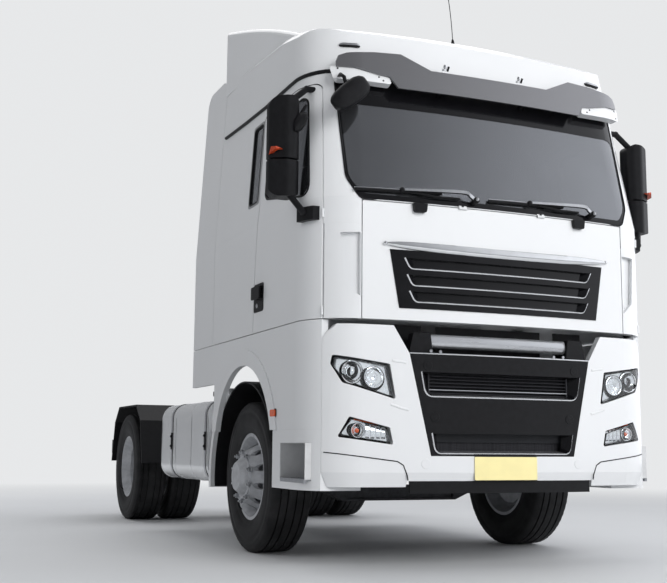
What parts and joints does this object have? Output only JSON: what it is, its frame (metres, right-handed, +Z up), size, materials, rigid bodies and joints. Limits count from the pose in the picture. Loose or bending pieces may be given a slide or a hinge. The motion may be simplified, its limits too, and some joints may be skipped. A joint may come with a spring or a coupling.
{
  "type": "semi truck tractor unit",
  "caption": "Cab-over road tractor unit with steered front wheels, twin rear wheels, tilting cab, opening doors and flap, and a rocking fifth wheel.",
  "frame": {"origin": "on the ground below the middle of the vehicle's length and width", "axes": "+Z up, -Y to the front, +X to the vehicle's left side"},
  "size_m": [2.89, 6.1146, 3.998],
  "materials": {
    "white_paint": "gloss",
    "dark_plastic": "satin",
    "visor_grey": "metallic satin",
    "gloss_black": "gloss",
    "window_glass": "tinted",
    "lamp_glass": "clear lens over chrome",
    "tyre_rubber": "matte",
    "steel_wheel": "satin silver",
    "chassis_paint": "satin",
    "axle_iron": "rough",
    "engine_metal": "rough",
    "radiator_core": "fins",
    "tank_aluminium": "polished",
    "silver_bar": "satin",
    "plate_steel": "greased",
    "tread_plate": "tread",
    "tail_red": "lens",
    "dash_plastic": "grained",
    "seat_fabric": "woven",
    "mattress_fabric": "woven"
  },
  "bodies": {
    "chassis": {"chassis_frame": "chassis_paint", "front_axle_beam": "axle_iron", "leaf_springs": "chassis_paint", "rear_axle": "axle_iron", "propeller_shaft": "axle_iron", "engine_gearbox": "engine_metal", "radiator": "radiator_core", "fuel_tank": "tank_aluminium", "battery_box": "dark_plastic", "exhaust_box": "engine_metal", "front_fenders": "dark_plastic", "fender_panels": "white_paint", "rear_mudguards": "dark_plastic", "deck_plate": "tread_plate", "air_line_stand": "chassis_paint", "fifth_wheel_base": "chassis_paint", "tail_lamps": "tail_red", "bumper": "white_paint", "front_valance": "dark_plastic", "bumper_grille": "gloss_black", "front_lamps": "lamp_glass", "step_bar": "silver_bar", "bumper_beam": "chassis_paint", "step_boxes": "white_paint", "side_skirts": "white_paint"},
    "cab": {"cab_shell": "white_paint", "corner_panels": "white_paint", "cab_glass": "window_glass", "roof": "white_paint", "roof_deflector": "white_paint", "sun_visor": "visor_grey", "side_fairings": "white_paint", "wipers": "dark_plastic", "cab_tilt_arms": "chassis_paint", "front_mirror": "dark_plastic", "dashboard": "dash_plastic", "seats": "seat_fabric", "bunk": "mattress_fabric"},
    "front_flap": {"front_flap": "white_paint", "upper_grille": "gloss_black"},
    "fifth_wheel": {"fifth_wheel_plate": "plate_steel"},
    "door_right": {"door_right": "white_paint", "door_glass_right": "window_glass", "mirror_right": "dark_plastic"},
    "knuckle_right": {"knuckle_right": "axle_iron"},
    "wheel_front_right": {"tyre_front_right": "tyre_rubber", "rim_front_right": "steel_wheel"},
    "wheels_rear_right": {"tyres_rear_right": "tyre_rubber", "rims_rear_right": "steel_wheel"},
    "door_left": {"door_left": "white_paint", "door_glass_left": "window_glass", "mirror_left": "dark_plastic"},
    "knuckle_left": {"knuckle_left": "axle_iron"},
    "wheel_front_left": {"tyre_front_left": "tyre_rubber", "rim_front_left": "steel_wheel"},
    "wheels_rear_left": {"tyres_rear_left": "tyre_rubber", "rims_rear_left": "steel_wheel"}
  },
  "joints": [
    {"name": "steer_right", "type": "hinge", "parent": "chassis", "child": "knuckle_right", "pos_m": [-0.85, -1.56, 0.515], "axis": [0, 0, 1], "range_deg": [-38, 38]},
    {"name": "front_wheel_right_spin", "type": "hinge", "parent": "knuckle_right", "child": "wheel_front_right", "pos_m": [-1.02, -1.56, 0.515], "axis": [1, 0, 0], "continuous": true},
    {"name": "rear_wheels_right_spin", "type": "hinge", "parent": "chassis", "child": "wheels_rear_right", "pos_m": [-0.918, 2.04, 0.515], "axis": [1, 0, 0], "continuous": true},
    {"name": "door_right_swing", "type": "hinge", "parent": "cab", "child": "door_right", "pos_m": [-1.16302, -2.882, 2], "axis": [0, 0, 1], "range_deg": [0, 70]},
    {"name": "steer_left", "type": "hinge", "parent": "chassis", "child": "knuckle_left", "pos_m": [0.85, -1.56, 0.515], "axis": [0, 0, 1], "range_deg": [-38, 38]},
    {"name": "front_wheel_left_spin", "type": "hinge", "parent": "knuckle_left", "child": "wheel_front_left", "pos_m": [1.02, -1.56, 0.515], "axis": [1, 0, 0], "continuous": true},
    {"name": "rear_wheels_left_spin", "type": "hinge", "parent": "chassis", "child": "wheels_rear_left", "pos_m": [0.918, 2.04, 0.515], "axis": [1, 0, 0], "continuous": true},
    {"name": "door_left_swing", "type": "hinge", "parent": "cab", "child": "door_left", "pos_m": [1.16302, -2.882, 2], "axis": [0, 0, -1], "range_deg": [0, 70]},
    {"name": "cab_tilt", "type": "hinge", "parent": "chassis", "child": "cab", "pos_m": [0, -2.86, 1], "axis": [1, 0, 0], "range_deg": [0, 60]},
    {"name": "front_flap_lift", "type": "hinge", "parent": "cab", "child": "front_flap", "pos_m": [0, -3.045, 2.198], "axis": [-1, 0, 0], "range_deg": [0, 80]},
    {"name": "fifth_wheel_rock", "type": "hinge", "parent": "chassis", "child": "fifth_wheel", "pos_m": [0, 1.52, 1.167], "axis": [1, 0, 0], "range_deg": [-12, 12]}
  ],
  "couplings": [
    {"joint": "steer_left", "follows": "steer_right", "ratio": 1}
  ]
}
